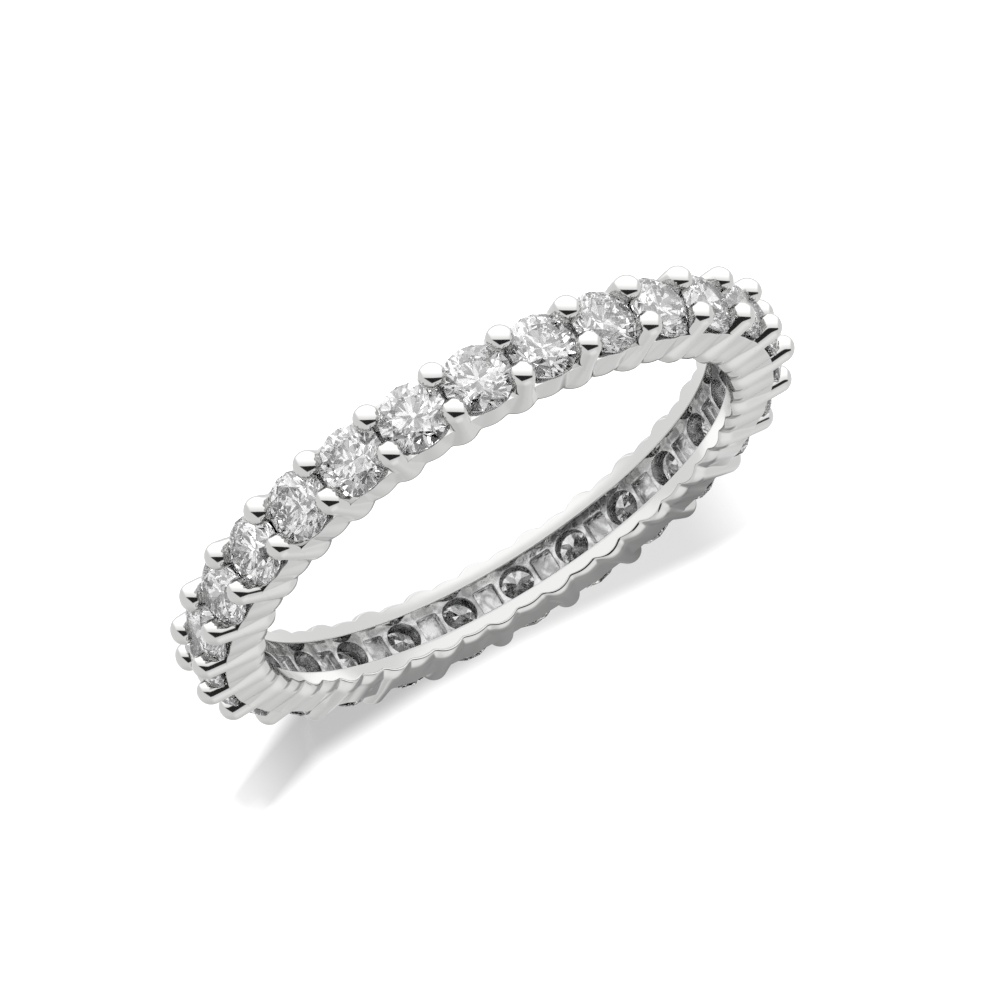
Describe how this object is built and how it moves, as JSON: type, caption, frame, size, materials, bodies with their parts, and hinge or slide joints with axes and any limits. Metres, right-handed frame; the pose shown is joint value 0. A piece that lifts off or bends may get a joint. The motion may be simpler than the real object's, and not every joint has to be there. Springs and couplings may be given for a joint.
{
  "type": "eternity ring",
  "caption": "Full eternity finger ring: round brilliant stones set all the way round a slim white metal hoop, each held by shared round claws, lying on its side.",
  "frame": {"origin": "middle of the ring's underside, on the axis of the finger hole, with the ring lying on its side", "axes": "+Z along the axis of the finger hole, up; +X through the middle of one pair of claws"},
  "size_m": [0.0211, 0.0212, 0.0025],
  "materials": {
    "setting": "polished white gold",
    "stones": "clear, colourless, cut as round brilliants"
  },
  "bodies": {
    "root": {"setting": "setting", "stone_01": "stones", "stone_02": "stones", "stone_03": "stones", "stone_04": "stones", "stone_05": "stones", "stone_06": "stones", "stone_07": "stones", "stone_08": "stones", "stone_09": "stones", "stone_10": "stones", "stone_11": "stones", "stone_12": "stones", "stone_13": "stones", "stone_14": "stones", "stone_15": "stones", "stone_16": "stones", "stone_17": "stones", "stone_18": "stones", "stone_19": "stones", "stone_20": "stones", "stone_21": "stones", "stone_22": "stones", "stone_23": "stones", "stone_24": "stones", "stone_25": "stones", "stone_26": "stones", "stone_27": "stones"}
  },
  "joints": []
}
